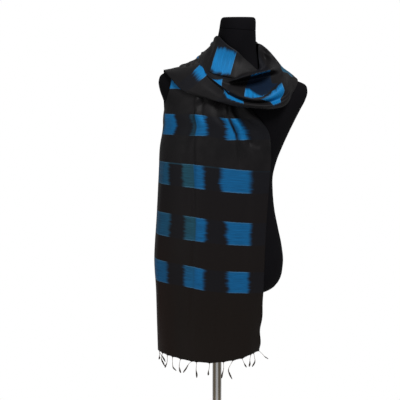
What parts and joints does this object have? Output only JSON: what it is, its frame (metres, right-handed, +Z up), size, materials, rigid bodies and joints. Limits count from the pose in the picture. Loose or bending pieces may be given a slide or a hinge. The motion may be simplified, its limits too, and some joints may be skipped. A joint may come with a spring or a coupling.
{
  "type": "ikat silk scarf on a limbless dress form with a stand",
  "caption": "Long woven scarf with a block pattern and fringed ends, wound round a limbless dress form on a pole stand, one end in front, a cowl, and one end behind.",
  "frame": {"origin": "centre of the base plate's underside, on the floor", "axes": "+Z up the pole, the form faces -Y, +X towards the form's left"},
  "size_m": [0.3975, 0.32, 1.4971],
  "materials": {
    "steel": "satin",
    "chrome": "polished",
    "jersey": "matte black jersey cover",
    "silk": "soft silky sheen, near black with blue ikat blocks",
    "yarn": "twisted silk threads"
  },
  "bodies": {
    "root": {"base_plate": "steel", "pole_boss": "steel", "pole": "chrome", "form_socket": "chrome", "dress_form": "jersey", "neck_cap": "jersey", "scarf_front_end": "silk", "scarf_nape_wrap": "silk", "scarf_cowl": "silk", "scarf_back_end": "silk", "front_fringe": "yarn", "back_fringe": "yarn"}
  },
  "joints": []
}
